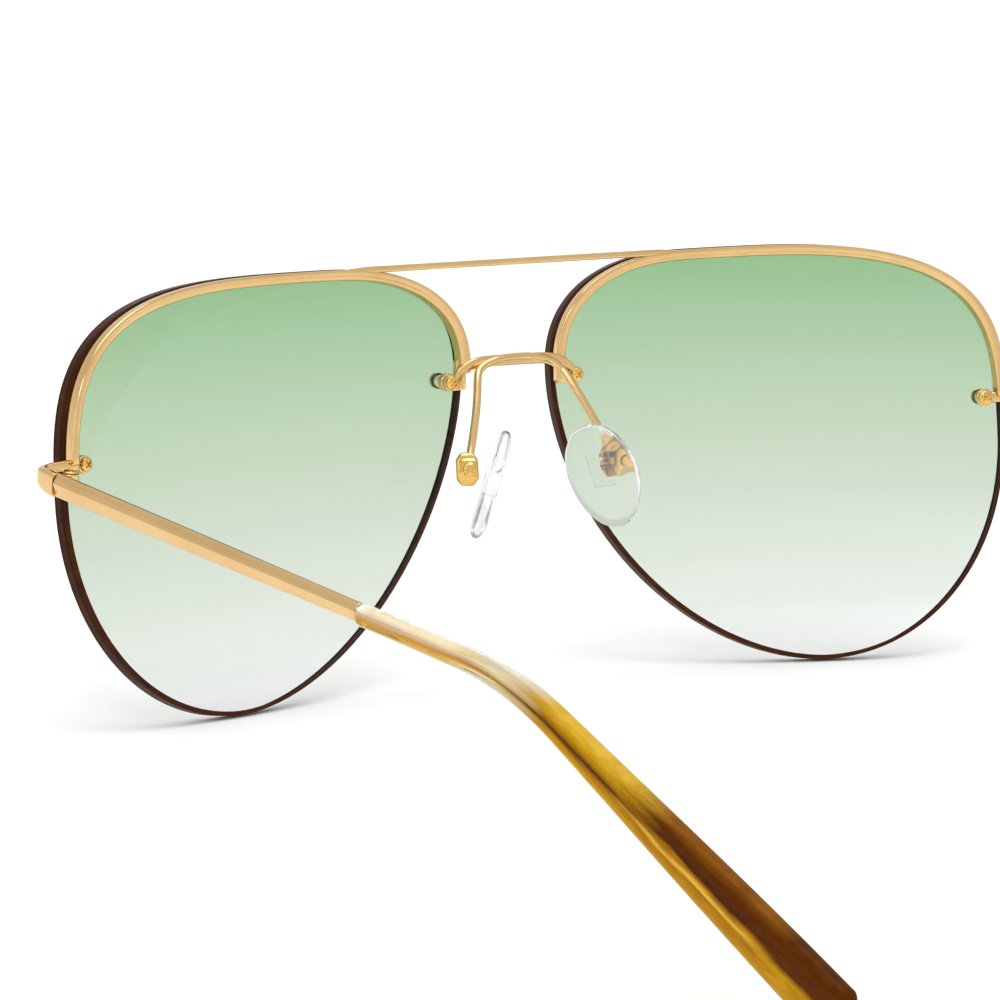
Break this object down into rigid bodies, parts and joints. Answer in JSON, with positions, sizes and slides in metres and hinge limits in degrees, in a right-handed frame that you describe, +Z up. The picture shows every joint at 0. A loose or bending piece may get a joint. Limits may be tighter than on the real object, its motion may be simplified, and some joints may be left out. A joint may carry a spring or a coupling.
{
  "type": "aviator sunglasses",
  "caption": "Half-rim aviator sunglasses: gold wire frame, gradient lenses screwed on, folding temples with acetate tips and rocking nose pads.",
  "frame": {"origin": "on the table under the middle of the open glasses' box, which stands on the lens bottoms and the temple tips", "axes": "+X towards the wearer's left, +Y back along the temples, +Z up from the table"},
  "size_m": [0.1442, 0.1614, 0.0513],
  "materials": {
    "gold_metal": "gold plated, brushed satin on the wire and bars",
    "gold_screw": "gold plated, polished",
    "tinted_lens": "green gradient tint, darker at the top, brown painted edge",
    "silicone": "clear soft silicone",
    "clear_plastic": "clear",
    "acetate": "polished translucent honey and brown streaked acetate"
  },
  "bodies": {
    "front": {"lens_left": "tinted_lens", "lens_right": "tinted_lens", "rim_left": "gold_metal", "rim_right": "gold_metal", "brow_bar": "gold_metal", "bridge": "gold_metal", "pad_wire": "gold_metal", "nasal_tab_left": "gold_metal", "nasal_tab_right": "gold_metal", "end_piece_left": "gold_metal", "end_piece_right": "gold_metal", "lens_screws_left": "gold_screw", "lens_screws_right": "gold_screw", "lens_nuts_left": "gold_screw", "lens_nuts_right": "gold_screw", "lens_bushings_left": "clear_plastic", "lens_bushings_right": "clear_plastic", "lens_washers_left": "clear_plastic", "lens_washers_right": "clear_plastic", "pad_box_left": "gold_metal", "pad_box_right": "gold_metal", "pad_screw_left": "gold_screw", "pad_screw_right": "gold_screw", "hinge_front_left": "gold_metal", "hinge_front_right": "gold_metal", "hinge_screw_left": "gold_screw", "hinge_screw_right": "gold_screw"},
    "temple_left": {"hinge_temple_left": "gold_metal", "temple_left": "gold_metal", "temple_tip_left": "acetate"},
    "temple_right": {"hinge_temple_right": "gold_metal", "temple_right": "gold_metal", "temple_tip_right": "acetate"},
    "nose_pad_left": {"pad_insert_left": "clear_plastic", "nose_pad_left": "silicone"},
    "nose_pad_right": {"pad_insert_right": "clear_plastic", "nose_pad_right": "silicone"}
  },
  "joints": [
    {"name": "temple_left_fold", "type": "hinge", "parent": "front", "child": "temple_left", "pos_m": [0.0695, -0.06221, 0.03091], "axis": [0, 0.0506, 0.9987], "range_deg": [0, 84]},
    {"name": "temple_right_fold", "type": "hinge", "parent": "front", "child": "temple_right", "pos_m": [-0.0695, -0.06221, 0.03091], "axis": [0, -0.0506, -0.9987], "range_deg": [0, 80]},
    {"name": "nose_pad_left_rock", "type": "hinge", "parent": "front", "child": "nose_pad_left", "pos_m": [0.0104, -0.06855, 0.02746], "axis": [0.5299, 0.8307, 0.1705], "range_deg": [-4, 4]},
    {"name": "nose_pad_right_rock", "type": "hinge", "parent": "front", "child": "nose_pad_right", "pos_m": [-0.0104, -0.06855, 0.02746], "axis": [-0.5299, 0.8307, 0.1705], "range_deg": [-4, 4]}
  ]
}
